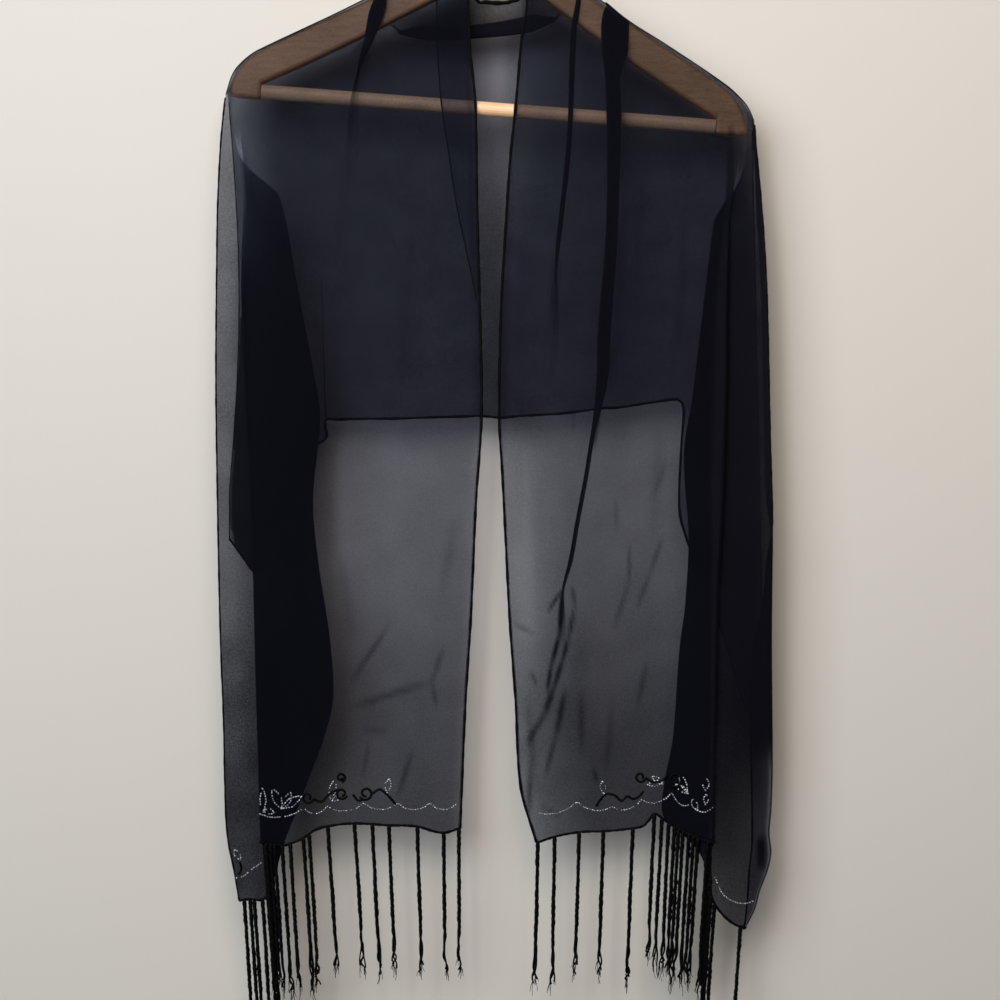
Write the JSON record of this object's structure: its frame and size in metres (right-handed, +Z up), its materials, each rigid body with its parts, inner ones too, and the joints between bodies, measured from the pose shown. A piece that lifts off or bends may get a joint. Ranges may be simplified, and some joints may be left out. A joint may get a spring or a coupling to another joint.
{
  "type": "beaded scarf on a wooden hanger",
  "caption": "Long sheer scarf hung shawl fashion over a wooden hanger, with folded fronts, beaded ends and knotted thread tassels.",
  "frame": {"origin": "inside top of the hanger's hook, where it bears on the rail that holds it", "axes": "+Z up, +X to the viewer's right along the hanger, +Y away from the viewer, from the open front to the scarf's back"},
  "size_m": [0.4687, 0.0386, 1.036],
  "materials": {
    "chiffon": "sheer black crepe chiffon, matt, one layer lets some light through",
    "tassel_thread": "twisted black thread, slight lustre",
    "beads": "small silver-lined glass seed beads",
    "pale_wood": "satin clear varnish over pale wood",
    "hook_steel": "bright plated wire"
  },
  "bodies": {
    "root": {"scarf_back": "chiffon", "scarf_front_left": "chiffon", "scarf_front_right": "chiffon", "fringe_left": "tassel_thread", "fringe_right": "tassel_thread", "hanger_body": "pale_wood", "hanger_bar": "pale_wood", "hanger_hook": "hook_steel"}
  },
  "joints": []
}
